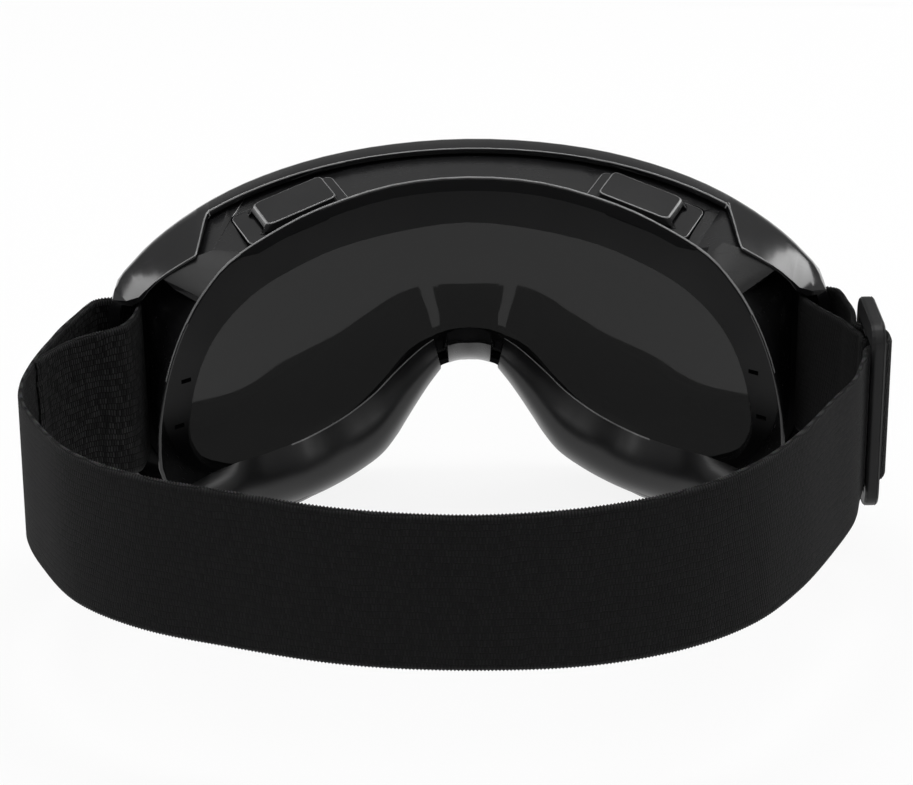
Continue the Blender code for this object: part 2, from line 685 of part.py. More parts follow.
def strap_route():
    """The strap's middle line in plan, from the end sewn at the left to the end at the buckle."""
    lay = GAP + STRAP_THICK / 2
    slot = (BUCKLE_LENGTH - 3 * BUCKLE_BAR) / 2
    inner_face = BUCKLE_X - BUCKLE_THICK / 2 - lay
    bar_half = BUCKLE_MID_THICK / 2
    under = BUCKLE_X - bar_half - lay
    over = BUCKLE_X + bar_half + lay
    top = over + STRAP_THICK + GAP
    mid_half = BUCKLE_BAR / 2

    sewn = [tuple(smooth_point(LEFT_SEWN_RUN, u, False))
            for u in np.linspace(0, len(LEFT_SEWN_RUN) - 1, 16)]
    left = list(reversed(bar_loop(-1)))
    radius = BUCKLE_SLIDE_RADIUS
    approach = [(inner_face - radius + math.sqrt(radius ** 2 - y * y), BUCKLE_Y - y)
                for y in BUCKLE_APPROACH]
    run = BACK_RUN + approach
    round_head = [tuple(smooth_point(run, u, False))
                  for u in np.linspace(0, len(run) - 1, 3 * (len(run) - 1) + 1)]
    rise = [(inner_face - 0.15, -mid_half - slot - 1.5), (inner_face, -mid_half - slot + 0.4),
            (inner_face + 1.1, -mid_half - slot + 2.1), (BUCKLE_X + 0.6, -mid_half - 3.8),
            (top - 0.8, -mid_half - 2.2), (top, -mid_half - 0.2)]
    fall = [(x, -y) for x, y in reversed(rise)]
    weave = [(x, BUCKLE_Y + y) for x, y in rise + fall]
    right = bar_loop(1)
    front_bar = BUCKLE_Y + BUCKLE_LENGTH / 2
    forward = [(inner_face - 0.1, front_bar + 0.4),
               (inner_face + 0.6 * (right[0][0] - inner_face), (front_bar + TAIL_Y) / 2)]
    start_x, start_y = right[-1][0], TAIL_Y
    goal_x, goal_y = inner_face - STRAP_THICK - 0.5, front_bar - BUCKLE_BAR
    inner = [(start_x + x * (goal_x - start_x), start_y + y * (goal_y - start_y))
             for x, y in INNER_LAYER]
    inner += [(goal_x + GAP, goal_y - 2.3), (under - 0.5, BUCKLE_Y + mid_half + 0.9),
              (under, BUCKLE_Y + mid_half - 0.6)]
    round_bar = []
    for centre_x, centre_y, start in ((BUCKLE_X - bar_half, -mid_half, 180),
                                      (BUCKLE_X + bar_half, -mid_half, 270),
                                      (BUCKLE_X + bar_half, mid_half, 360)):
        middle = (centre_x, BUCKLE_Y + centre_y)
        round_bar += arc(middle, lay, start, start + 90, 3)
    end = [(BUCKLE_X - bar_half + 0.7, BUCKLE_Y + mid_half + lay)]
    return sewn + left + round_head + weave + forward + right + inner + round_bar + end


def build_strap(mat):
    """Elastic strap: one band standing on edge, swept along its route in plan."""
    route = [Vector(p) for p in strap_route()]
    half = STRAP_THICK / 2
    low, high = STRAP_MID_Z - STRAP_WIDTH / 2, STRAP_MID_Z + STRAP_WIDTH / 2
    sections = []
    for k, p in enumerate(route):
        before = route[max(k - 1, 0)]
        after = route[min(k + 1, len(route) - 1)]
        into = (p - before).normalized() if k else (after - p).normalized()
        away = (after - p).normalized() if k < len(route) - 1 else into
        along = (into + away).normalized()
        spread = half / max(along.dot(away), 0.7)
        aside = Vector((-along[1], along[0])) * spread
        a, b = p + aside, p - aside
        sections.append(world([(a[0], a[1], low), (a[0], a[1], high),
                               (b[0], b[1], high), (b[0], b[1], low)]))
    origin = world([(0, TAIL_Y, STRAP_MID_Z)])[0]
    return finish(loft(sections, False), "strap", mat, 50.0, origin)


def build_buckle(mat, pivot):
    """Flat three-bar slide that stands on edge on the right side of the strap."""
    half_z = BUCKLE_HEIGHT / 2
    bm = bmesh.new()
    verts = box(bm, (-BUCKLE_THICK / 2, -BUCKLE_LENGTH / 2, -half_z),
                (BUCKLE_THICK / 2, BUCKLE_LENGTH / 2, half_z))
    across = [e for e in bm.edges
              if abs(e.verts[0].co.x - e.verts[1].co.x) > BUCKLE_THICK / 2]
    bmesh.ops.bevel(bm, geom=across, offset=BUCKLE_CORNER, segments=5, affect="EDGES", profile=0.5)
    bmesh.ops.bevel(bm, geom=list(bm.edges), offset=0.35, segments=1, affect="EDGES")
    place = Vector((BUCKLE_X, BUCKLE_Y, STRAP_MID_Z + BUCKLE_RISE))
    for v in bm.verts:
        v.co = world([v.co + place])[0]
    obj = finish(bm, "buckle", mat, 30.0, pivot)
    place = Vector((BUCKLE_X, BUCKLE_Y, STRAP_MID_Z))
    slot = (BUCKLE_LENGTH - 3 * BUCKLE_BAR) / 2
    slot_half = STRAP_WIDTH / 2 + 2 * GAP
    relief = (BUCKLE_THICK - BUCKLE_MID_THICK) / 2
    for side in (-1, 1):
        bm = bmesh.new()
        y0, y1 = sorted((side * BUCKLE_BAR / 2, side * (BUCKLE_BAR / 2 + slot)))
        box(bm, (-5, y0, -slot_half), (5, y1, slot_half))
        for v in bm.verts:
            v.co = world([v.co + place])[0]
        cut(obj, cutter(bm, "buckle_slot_cutter"))
        bm = bmesh.new()
        x0, x1 = sorted((side * BUCKLE_MID_THICK / 2, side * (BUCKLE_MID_THICK / 2 + relief + 2)))
        box(bm, (x0, -BUCKLE_BAR, -slot_half), (x1, BUCKLE_BAR, slot_half))
        for v in bm.verts:
            v.co = world([v.co + place])[0]
        cut(obj, cutter(bm, "buckle_relief_cutter"))
    return obj


def main():
    for obj in list(bpy.data.objects):
        bpy.data.objects.remove(obj, do_unlink=True)

    shell = material("soft_black_body", (0.018, 0.018, 0.019), 0.32)
    hard = material("gloss_black_bezel", (0.012, 0.012, 0.013), 0.16)
    dark = material("dark_lens", (0.010, 0.011, 0.012), 0.05, 0.92)
    vent = material("gloss_black_vent", (0.020, 0.020, 0.021), 0.25)
    cover = material("gloss_black_cover", (0.022, 0.022, 0.023), 0.22)
    webbing = material("black_elastic", (0.014, 0.014, 0.015), 0.85)
    slide = material("dark_grey_buckle", (0.050, 0.050, 0.052), 0.5)

    build_body(shell)
    build_bezel(hard)
    build_lens(dark)
    build_vent(-1, "left", vent, cover)
    build_vent(1, "right", vent, cover)
    build_strap(webbing)
    pivot = world([(BUCKLE_X - BUCKLE_SLIDE_RADIUS, BUCKLE_Y, STRAP_MID_Z)])[0]
    build_buckle(slide, pivot)


main()
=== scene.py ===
import json
import math

import bmesh
import bpy
import numpy as np
from mathutils import Matrix, Vector

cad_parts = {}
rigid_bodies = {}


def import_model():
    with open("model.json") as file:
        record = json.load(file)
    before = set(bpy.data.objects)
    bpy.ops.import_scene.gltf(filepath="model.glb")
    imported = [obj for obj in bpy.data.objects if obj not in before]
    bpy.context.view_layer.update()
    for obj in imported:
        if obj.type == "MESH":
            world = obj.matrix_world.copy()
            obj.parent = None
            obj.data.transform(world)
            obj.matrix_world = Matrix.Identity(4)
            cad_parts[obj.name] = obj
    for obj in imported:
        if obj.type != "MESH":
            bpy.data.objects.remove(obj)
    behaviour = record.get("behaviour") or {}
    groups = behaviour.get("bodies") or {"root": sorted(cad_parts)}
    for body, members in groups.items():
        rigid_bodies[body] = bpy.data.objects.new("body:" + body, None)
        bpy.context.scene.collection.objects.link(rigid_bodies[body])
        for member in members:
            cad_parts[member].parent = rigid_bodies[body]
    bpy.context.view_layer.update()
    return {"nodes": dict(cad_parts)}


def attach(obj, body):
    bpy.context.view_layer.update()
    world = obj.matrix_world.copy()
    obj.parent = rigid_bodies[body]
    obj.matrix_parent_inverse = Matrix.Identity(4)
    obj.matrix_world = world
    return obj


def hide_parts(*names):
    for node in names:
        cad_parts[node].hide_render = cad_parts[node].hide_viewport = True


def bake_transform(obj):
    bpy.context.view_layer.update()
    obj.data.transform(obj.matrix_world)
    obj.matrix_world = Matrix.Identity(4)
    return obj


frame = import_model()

# Front bezel: one hard gloss-black moulding that runs round the lens, with a wing over each temple
# and a bar behind a slot at each end for the strap. It is injection moulded, so its edges are
# softly rounded and its skin is nearly mirror smooth, with a faint flow ripple.
MM = 0.001


def merged_copy(node, name):
    """A copy of a piece's plain solid as one closed skin, with flat faces joined to quads."""
    bpy.ops.object.select_all(action="DESELECT")
    source = frame["nodes"][node]
    source.select_set(True)
    bpy.context.view_layer.objects.active = source
    bpy.ops.object.duplicate(linked=False)
    piece = bpy.context.active_object
    bpy.ops.object.parent_clear(type="CLEAR_KEEP_TRANSFORM")
    bpy.ops.object.transform_apply(location=True, rotation=True, scale=True)
    piece.name = name
    piece.data.name = name
    for key in list(piece.keys()):
        del piece[key]
    piece.data.materials.clear()
    bpy.ops.object.mode_set(mode="EDIT")
    bpy.ops.mesh.select_all(action="SELECT")
    bpy.ops.mesh.customdata_custom_splitnormals_clear()
    bpy.ops.mesh.remove_doubles(threshold=0.01 * MM)
    bpy.ops.mesh.tris_convert_to_quads(face_threshold=math.radians(4), shape_threshold=math.radians(60))
    bpy.ops.object.mode_set(mode="OBJECT")
    return piece


def apply_all(piece):
    """Applies a piece's modifiers in turn and leaves it the only piece selected."""
    bpy.ops.object.select_all(action="DESELECT")
    piece.select_set(True)
    bpy.context.view_layer.objects.active = piece
    for modifier in list(piece.modifiers):
        bpy.ops.object.modifier_apply(modifier=modifier.name)


def round_edges(piece, width, angle, edge_slot=-1, reach=1.0, clamp=False):
    """Rounds edges sharper than the angle in degrees, less and less towards the reach from the middle."""
    fade = 6 * MM
    skin = bmesh.new()
    skin.from_mesh(piece.data)
    rounding = skin.edges.layers.float.new("bevel_weight_edge")
    for edge in skin.edges:
        share = min(1.0, (reach - max(abs(corner.co.x) for corner in edge.verts)) / fade)
        if share > 0 and len(edge.link_faces) == 2 and edge.calc_face_angle() > math.radians(angle):
            edge[rounding] = share
    skin.to_mesh(piece.data)
    skin.free()
    bevel = piece.modifiers.new("rounded_edges", "BEVEL")
    bevel.width = width
    bevel.segments = 3
    bevel.limit_method = "WEIGHT"
    bevel.use_clamp_overlap = clamp
    bevel.material = edge_slot
    apply_all(piece)
    bpy.ops.object.shade_smooth_by_angle(angle=math.radians(40))
    even = piece.modifiers.new("even_normals", "WEIGHTED_NORMAL")
    even.keep_sharp = True
    apply_all(piece)


def plug(tree, socket, value):
    """Gives a socket a fixed value, or joins it to another node's output."""
    if isinstance(value, bpy.types.NodeSocket):
        tree.links.new(value, socket)
    else:
        socket.default_value = value


def shader_node(tree, kind, *values, settings=None, **named):
    """Adds a node: values fill its first sockets in turn, named ones are given with _ for a space."""
    node = tree.nodes.new("ShaderNode" + kind)
    for setting, choice in (settings or {}).items():
        setattr(node, setting, choice)
    for socket, value in zip(node.inputs, values):
        plug(tree, socket, value)
    for name, value in named.items():
        plug(tree, node.inputs[name.replace("_", " ")], value)
    return node


def graded(tree, value, low, high, at_low, at_high):
    """Turns a value that runs from low to high into one that runs between two others."""
    grade = shader_node(tree, "MapRange", Value=value, From_Min=low, From_Max=high,
                        To_Min=at_low, To_Max=at_high)
    return grade.outputs["Result"]


def colour_ramp(tree, value, *stops):
    """Turns a value into a colour that blends from stop to stop, each a place and a colour."""
    ramp = shader_node(tree, "ValToRGB", value)
    marks = ramp.color_ramp.elements
    for mark, (place, colour) in zip((marks[0], marks[1]), (stops[0], stops[-1])):
        mark.position = place
        mark.color = (*colour, 1)
    for place, colour in stops[1:-1]:
        marks.new(place).color = (*colour, 1)
    return ramp.outputs["Color"]


def new_skin(name):
    """A new material, with its node tree and the node of its surface."""
    material = bpy.data.materials.new(name)
    material.use_nodes = True
    return material, material.node_tree, material.node_tree.nodes["Principled BSDF"]


def moulded_plastic(name, deep, pale, glossy, dull, grain, grain_height, wear, shine=0.5):
    """Moulded plastic between two colours: uneven gloss, a fine skin and faint hairline rubs."""
    material, tree, skin = new_skin(name)
    place = shader_node(tree, "TexCoord").outputs["Object"]
    cloud = shader_node(tree, "TexNoise", Vector=place, Scale=55, Detail=5).outputs["Fac"]
    tint = colour_ramp(tree, cloud, (0.3, deep), (0.75, pale))
    rub_place = shader_node(tree, "Mapping", Vector=place, Rotation=(0.3, 0.2, 0.6), Scale=(90, 1500, 700))
    rub_lines = shader_node(tree, "TexNoise", Vector=rub_place.outputs["Vector"], Scale=1.0, Detail=3)
    rubs = graded(tree, rub_lines.outputs["Fac"], 0.62, 0.8, 0.0, wear)
    gloss = graded(tree, cloud, 0.3, 0.75, glossy, dull)
    worn_gloss = shader_node(tree, "Math", gloss, rubs, settings={"operation": "ADD"})
    pores = shader_node(tree, "TexNoise", Vector=place, Scale=grain, Detail=2)
    relief = shader_node(tree, "Bump", Strength=0.35, Distance=grain_height, Height=pores.outputs["Fac"])
    plug(tree, skin.inputs["Base Color"], tint)
    plug(tree, skin.inputs["Roughness"], worn_gloss.outputs["Value"])
    plug(tree, skin.inputs["Specular IOR Level"], shine)
    plug(tree, skin.inputs["Normal"], relief.outputs["Normal"])
    return material


def coat(piece, *skins):
    """Gives a piece its materials, the one of its main skin first."""
    for skin in skins:
        piece.data.materials.append(skin)


# The rounded edges have a paler skin, a painted highlight, so that they show as thin light lines
BEZEL_MAIN, BEZEL_HIGHLIGHT, BEZEL_SHADED = range(3)
EDGE_HIGHLIGHT_GREY = ((0.17, 0.17, 0.171), (0.27, 0.27, 0.271))
WING_ROUNDED_TO = 77 * MM
NOSE_BACK_HALF = 14 * MM
NOSE_BACK_TOP = 46 * MM
PAINTED_HIGHLIGHTS_ABOVE = 36 * MM
# A dull finish that reflects little, used for painted shade on backs and inner walls
dull_finish = dict(glossy=0.5, dull=0.6, grain=700, grain_height=0.05 * MM, wear=0.05, shine=0.05)
bezel = merged_copy("front_bezel", "bezel_shell")
coat(bezel,
     moulded_plastic("bezel_gloss_black", (0.004, 0.004, 0.0045), (0.008, 0.008, 0.0085),
                     glossy=0.10, dull=0.19, grain=260, grain_height=0.03 * MM, wear=0.10),
     moulded_plastic("bezel_edge_painted_highlight", *EDGE_HIGHLIGHT_GREY,
                     glossy=0.12, dull=0.22, grain=260, grain_height=0.03 * MM, wear=0.10),
     moulded_plastic("bezel_painted_shade_back", (0.005, 0.005, 0.0055), (0.008, 0.008, 0.0085), **dull_finish))
round_edges(bezel, 0.24 * MM, angle=32, edge_slot=BEZEL_HIGHLIGHT, reach=WING_ROUNDED_TO)

# The nose arch's back gets a dull copy of the black as painted shade, and edges that don't look up or that
# lie low keep the gloss black instead of the painted highlight
for face in bezel.data.polygons:
    at_nose = abs(face.center.x) < NOSE_BACK_HALF and face.center.z < NOSE_BACK_TOP
    if at_nose and face.normal.y < 0.4:
        face.material_index = BEZEL_SHADED
    elif face.normal.z < 0.25 or face.center.z < PAINTED_HIGHLIGHTS_ABOVE:
        face.material_index = BEZEL_MAIN
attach(bezel, "frame")
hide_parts("front_bezel")

# Lens: one dark wraparound sheet of polycarbonate, two millimetres thick, polished on both faces
# and held between the bezel's lip and the body's plate. Fine wiping marks cross it.
lens = merged_copy("lens", "dark_lens")
round_edges(lens, 0.2 * MM, angle=40)
lens_dark, tree, polish = new_skin("lens_dark_polish")
place = shader_node(tree, "TexCoord").outputs["Object"]
cloud = shader_node(tree, "TexNoise", Vector=place, Scale=14, Detail=2).outputs["Fac"]
tint = colour_ramp(tree, cloud, (0, (0.0078, 0.0080, 0.0079)), (1, (0.0102, 0.0106, 0.0103)))
wipe_place = shader_node(tree, "Mapping", Vector=place, Rotation=(0.0, 0.5, 0.1), Scale=(60, 400, 1900))
wipes = shader_node(tree, "TexNoise", Vector=wipe_place.outputs["Vector"], Scale=1.0, Detail=4)
plug(tree, polish.inputs["Base Color"], tint)
plug(tree, polish.inputs["Roughness"], graded(tree, wipes.outputs["Fac"], 0.45, 0.8, 0.035, 0.11))
plug(tree, polish.inputs["IOR"], 1.5)
plug(tree, polish.inputs["Specular IOR Level"], 0.27)
plug(tree, polish.inputs["Alpha"], 0.90)
coat(lens, lens_dark)
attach(lens, "frame")
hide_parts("lens")

# Face body: one soft moulding, flange, tube wall and front plate together, gripped by the bezel.
# It is flexible black vinyl with a smooth moulded skin, less glossy than the bezel.
# The plate is curved round an upright axis, and its faces are told by how far they are from it.
BODY_MAIN, BODY_PLATE, BODY_SHADED, BODY_HIGHLIGHT = range(4)
PLATE_AXIS_Y = -36.25 * MM
PLATE_FROM = 108 * MM
PLATE_TO = 116 * MM
PLATE_BACK_FROM = 110.6 * MM
PLATE_BACK_TO = 112.4 * MM
BODY_MIDDLE = 40 * MM
TOP_WALL_ABOVE = 60 * MM
NOSE_SLOTS_HALF = 8.2 * MM
NOSE_SLOTS_TOP = 47 * MM
FLANGE_EDGE_ABOVE = 44 * MM
FLANGE_EDGE_FACE = 1.3 * MM * MM
FLANGE_EDGE_BEHIND = 50 * MM
soft_finish = dict(grain=420, grain_height=0.04 * MM, wear=0.08)
body_skin = moulded_plastic("soft_body_vinyl", (0.006, 0.006, 0.0065), (0.011, 0.011, 0.0115),
                            glossy=0.20, dull=0.30, **soft_finish)
plate_skin = moulded_plastic("plate_dull_vinyl", (0.006, 0.006, 0.0065), (0.009, 0.009, 0.0095),
                             glossy=0.34, dull=0.46, grain=700, grain_height=0.05 * MM, wear=0.05, shine=0.22)
# A dull copy of the vinyl, painted shade for the inner walls, the nose slots and the low sides of the vent
# seats
inner_shade_skin = moulded_plastic("inner_wall_painted_shade_vinyl", (0.006, 0.006, 0.0065), (0.009, 0.009, 0.0095),
                             **dull_finish)
body_edge_highlight = moulded_plastic("soft_edge_painted_highlight", *EDGE_HIGHLIGHT_GREY, glossy=0.2, dull=0.3, **soft_finish)
lip_skin = moulded_plastic("lip_soft_vinyl", (0.005, 0.005, 0.0055), (0.008, 0.008, 0.0085),
                           glossy=0.30, dull=0.40, **soft_finish)
body = merged_copy("face_body", "soft_face_body")
coat(body, body_skin, plate_skin, inner_shade_skin, body_edge_highlight)
round_edges(body, 0.3 * MM, angle=34, edge_slot=BODY_HIGHLIGHT, clamp=True)

# The plate is dull, the inside walls and nose slots get the dull copy as painted shade, and only edges of the
# flange that look up keep the pale painted highlight
for face in body.data.polygons:
    middle = face.center
    normal = face.normal
    edge = face.material_index == BODY_HIGHLIGHT
    spoke = Vector((middle.x, middle.y - PLATE_AXIS_Y, 0))
    at_plate = PLATE_FROM < spoke.length < PLATE_TO
    plate_back = PLATE_BACK_FROM < spoke.length < PLATE_BACK_TO and normal.dot(spoke.normalized()) < -0.97
    outward = Vector((middle.x, 0, middle.z - BODY_MIDDLE)).normalized().dot(normal)
    top_inside = middle.z > TOP_WALL_ABOVE and outward < -0.25 and not at_plate
    in_slots = abs(middle.x) < NOSE_SLOTS_HALF and middle.z < NOSE_SLOTS_TOP
    flange_edge = middle.z > FLANGE_EDGE_ABOVE and face.area < FLANGE_EDGE_FACE
    if plate_back or (at_plate and edge):
        face.material_index = BODY_PLATE
    elif top_inside or in_slots:
        face.material_index = BODY_SHADED
    elif flange_edge and normal.z > 0.3 and normal.y < -0.4:
        face.material_index = BODY_HIGHLIGHT
    elif edge and (normal.z < 0.2 or middle.y > FLANGE_EDGE_BEHIND):
        face.material_index = BODY_MAIN

# The lower edge of the tongue between the nose slots is set forward and up, behind the saddle
TONGUE_HALF = 5.6 * MM
TONGUE_BELOW = 40 * MM
TONGUE_BEHIND = 74 * MM
TONGUE_SHIFT = Vector((0, 2.0 * MM, 2.4 * MM))
for vertex in body.data.vertices:
    if abs(vertex.co.x) < TONGUE_HALF and vertex.co.z < TONGUE_BELOW and vertex.co.y < TONGUE_BEHIND:
        vertex.co += TONGUE_SHIFT


def smooth_line(points, step):
    """An even line of points, a step apart, on a smooth curve through the given ones."""
    knots = np.array(points, float) * MM
    knots = np.vstack([2 * knots[0] - knots[1], knots, 2 * knots[-1] - knots[-2]])
    fine = []
    for a, b, c, d in zip(knots[:-3], knots[1:-2], knots[2:-1], knots[3:]):
        first = np.sqrt(np.linalg.norm(b - a))
        second = first + np.sqrt(np.linalg.norm(c - b))
        third = second + np.sqrt(np.linalg.norm(d - c))
        for t in np.linspace(first, second, 24, endpoint=False):
            ab = (first - t) / first * a + t / first * b
            bc = (second - t) / (second - first) * b + (t - first) / (second - first) * c
            cd = (third - t) / (third - second) * c + (t - second) / (third - second) * d
            abc = (second - t) / second * ab + t / second * bc
            bcd = (third - t) / (third - first) * bc + (t - first) / (third - first) * cd
            fine.append((second - t) / (second - first) * abc + (t - first) / (second - first) * bcd)
    fine.append(knots[-2])
    fine = np.array(fine)
    run = np.concatenate([[0], np.cumsum(np.linalg.norm(np.diff(fine, axis=0), axis=1))])
    even = np.linspace(0, run[-1], int(run[-1] / step) + 1)
    return np.stack([np.interp(even, run, column) for column in fine.T], axis=1)


def flat_sheet(name, count, rows):
    """A flat grid to be bent, with each vertex's number along it and across it."""
    bpy.ops.object.select_all(action="DESELECT")
    bpy.ops.mesh.primitive_grid_add(x_subdivisions=count - 1, y_subdivisions=rows - 1, size=2)
    sheet = bpy.context.active_object
    sheet.name = name
    sheet.data.name = name
    flat = np.empty(len(sheet.data.vertices) * 3)
    sheet.data.vertices.foreach_get("co", flat)
    flat = flat.reshape(-1, 3)
    along = np.rint((flat[:, 0] + 1) / 2 * (count - 1)).astype(int)
    across = np.rint((flat[:, 1] + 1) / 2 * (rows - 1)).astype(int)
    return sheet, along, across


LIP_STEP = 1.2 * MM
LIP_WALL = 1.1 * MM
LIP_EDGE_SHARE = 0.013
LIP_HIGHLIGHT_FROM = 6 * MM
LIP_HIGHLIGHT_TO = 44 * MM
UNDER_STEPS = (0.7, 1.4, 2.1)
UNDER_RISE = 0.16


def curled_sheet(name, stations, side, skin):
    """A bent sheet of the moulding through stations, each a top edge, a bend and a lowest line."""
    line = smooth_line(stations, LIP_STEP)
    turn = np.concatenate([[0, LIP_EDGE_SHARE], np.linspace(0.1, 1, 12)])[:, None, None]
    top, bend, low = line[:, 0:3], line[:, 3:6], line[:, 6:9]
    curl = (1 - turn) ** 2 * top + 2 * turn * (1 - turn) * bend + turn ** 2 * low
    ahead = (low - bend) / np.linalg.norm(low - bend, axis=1)[:, None]
    under = [low + ahead * k * MM + np.array([0, 0, UNDER_RISE * k * k * MM]) for k in UNDER_STEPS]
    curl = np.concatenate([curl, under]) * np.array([side, 1, 1])
    rows, count = curl.shape[:2]
    sheet, along, across = flat_sheet(name, count, rows)
    sheet.data.vertices.foreach_set("co", curl[across, along].ravel())
    if sum(face.normal.y * face.area for face in sheet.data.polygons) > 0:
        bpy.ops.object.mode_set(mode="EDIT")
        bpy.ops.mesh.select_all(action="SELECT")
        bpy.ops.mesh.flip_normals()
        bpy.ops.object.mode_set(mode="OBJECT")
    coat(sheet, skin, body_edge_highlight)
    # The top edge row along the cheeks gets the pale painted highlight
    for face in sheet.data.polygons:
        in_edge_row = max(across[corner] for corner in face.vertices) == 1
        if in_edge_row and LIP_HIGHLIGHT_FROM < abs(face.center.x) < LIP_HIGHLIGHT_TO:
            face.material_index = 1
    wall = sheet.modifiers.new("wall", "SOLIDIFY")
    wall.thickness = LIP_WALL
    wall.offset = -1
    wall.material_offset_rim = -1
    apply_all(sheet)
    bpy.ops.object.shade_smooth_by_angle(angle=math.radians(50))
    return sheet


# The lower lip curls out round each cheek up to the nose slot, and a saddle lies between the slots
cheek_lip = [(8.8, 59.9, 43.3, 6.9, 49.9, 39.6, 7.1, 64.7, 33.4),
             (11.4, 58.9, 41.8, 9.8, 48.9, 36.0, 10.0, 63.7, 29.8),
             (14.2, 58.3, 39.6, 12.3, 48.3, 32.3, 12.6, 63.0, 26.0),
             (19.0, 57.5, 35.1, 15.4, 47.5, 27.3, 15.8, 62.1, 21.0),
             (23.0, 56.3, 31.2, 18.0, 46.3, 23.6, 18.4, 60.9, 17.1),
             (27.4, 54.6, 28.0, 21.5, 44.6, 19.5, 22.1, 59.2, 12.9),
             (31.8, 53.2, 25.3, 26.8, 43.2, 15.9, 27.5, 57.7, 9.2),
             (37.7, 52.6, 22.0, 33.5, 42.6, 11.9, 34.3, 57.1, 5.2),
             (42.6, 51.0, 20.2, 40.0, 41.0, 9.2, 41.0, 55.5, 2.6),
             (50.4, 45.6, 19.4, 48.6, 34.8, 8.2, 49.8, 50.6, 1.6),
             (56.6, 40.4, 19.6, 57.6, 24.6, 10.0, 59.2, 45.2, 2.8),
             (62.8, 36.8, 18.5, 63.2, 21.1, 13.0, 63.8, 42.0, 5.0),
             (68.5, 31.8, 17.6, 69.2, 18.6, 14.5, 69.6, 37.0, 9.4),
             (72.6, 26.6, 21.6, 72.9, 23.2, 20.0, 73.2, 28.0, 17.8)]
saddle = [(-5.3, 57.8, 42.3, -5.1, 59.8, 37.1, -5.0, 67.2, 34.0),
          (-2.8, 59.6, 42.2, -2.8, 62.2, 37.0, -2.8, 68.9, 33.9),
          (0.0, 61.0, 41.7, 0.0, 63.6, 36.6, 0.0, 70.3, 33.6),
          (2.8, 59.6, 42.2, 2.8, 62.2, 37.0, 2.8, 68.9, 33.9),
          (5.3, 57.8, 42.3, 5.1, 59.8, 37.1, 5.0, 67.2, 34.0)]
sheets = [curled_sheet("lip_left", cheek_lip, -1, lip_skin),
          curled_sheet("lip_right", cheek_lip, 1, lip_skin),
          curled_sheet("saddle", saddle, 1, body_skin)]
bpy.ops.object.select_all(action="DESELECT")
for sheet in sheets:
    sheet.select_set(True)
body.select_set(True)
bpy.context.view_layer.objects.active = body
bpy.ops.object.join()
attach(body, "frame")
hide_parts("face_body")

# Vents: on each side of the top wall a moulded base is pressed in, and a low cover is snapped over
# it, open towards the temple, so that air passes and sparks don't. Both are hard gloss plastic.
VENT_MAIN, VENT_HIGHLIGHT, VENT_SHADED = range(3)
VENT_SHADED_BELOW = 79 * MM
vent_finish = dict(glossy=0.16, dull=0.26, grain=380, grain_height=0.04 * MM, wear=0.10)
vent_gloss = moulded_plastic("vent_gloss_black", (0.006, 0.006, 0.0065), (0.012, 0.012, 0.0125),
                             **vent_finish)
vent_edge_highlight = moulded_plastic("vent_edge_painted_highlight", (0.15, 0.15, 0.151), (0.24, 0.24, 0.241), **vent_finish)
for side in ("left", "right"):
    base = merged_copy("vent_base_" + side, "vent_seat_" + side)
    coat(base, vent_gloss, vent_edge_highlight, inner_shade_skin)
    round_edges(base, 0.28 * MM, angle=32, edge_slot=VENT_HIGHLIGHT)
    # Seat sides that don't look up lose the pale painted highlight, and the low ones get the dull painted
    # shade
    for face in base.data.polygons:
        if face.normal.z < 0.2:
            face.material_index = VENT_SHADED if face.center.z < VENT_SHADED_BELOW else VENT_MAIN
    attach(base, "frame")
    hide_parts("vent_base_" + side)
    cap = merged_copy("vent_cap_" + side, "vent_cover_" + side)
    coat(cap, vent_gloss, vent_edge_highlight)
    round_edges(cap, 0.3 * MM, angle=30, edge_slot=VENT_HIGHLIGHT)
    # Only cover edges that look up keep the pale painted highlight
    for face in cap.data.polygons:
        if face.normal.z < 0.45:
            face.material_index = VENT_MAIN
    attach(cap, "frame")
    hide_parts("vent_cap_" + side)

# Strap: one length of black elastic webbing, 34 mm wide, woven in lengthwise cords that the
# rubber draws into short ribs, with looped edges. It stands on edge round the head, is sewn back
# on itself at the left bar, and is laced through the buckle and round the bar at the right.
STRAP_WIDE = 34 * MM
STRAP_THICK = 1.3 * MM
STRAP_MIDDLE = 46.7 * MM
RIB_STEP = 0.375 * MM
sewn_left = [(-96.85, -1.5), (-95.65, 3.0), (-91.6, 10.4), (-86.8, 15.2), (-83.0, 17.6), (-80.2, 20.2),
             (-78.4, 24.8), (-77.8, 29.5), (-77.6, 33.6), (-78.2, 36.4), (-80.4, 37.9), (-84.0, 38.3),
             (-86.6, 37.9), (-88.2, 36.8)]
round_head = [(-89.6, 33.8), (-91.2, 28.6), (-92.6, 24.0), (-94.0, 19.0), (-95.4, 12.0), (-96.6, 6.0),
              (-97.9, -3.4), (-98.3, -13.0), (-97.0, -22.5), (-92.4, -34.8), (-83.0, -51.6),
              (-69.0, -63.6), (-50.0, -72.4), (-26.0, -80.0), (0.0, -82.6), (24.0, -79.8), (43.0, -72.2),
              (57.0, -61.2)]
to_buckle = [(67.5, -47.2), (76.8, -30.2), (83.4, -17.8), (86.0, -9.2), (87.85, -2.8), (88.0, -0.8),
             (89.1, 0.9), (91.1, 2.2), (93.5, 3.8), (94.3, 5.8), (94.4, 7.65)]
to_bar = [(94.3, 9.5), (93.5, 11.5), (91.1, 13.1), (89.1, 14.4), (88.0, 16.1), (87.95, 18.0), (88.4, 20.6),
          (88.6, 24.4), (88.1, 29.2), (87.6, 34.2), (86.8, 37.2), (85.0, 38.4), (82.0, 38.4),
          (79.6, 37.6), (78.4, 35.8), (78.1, 33.2)]
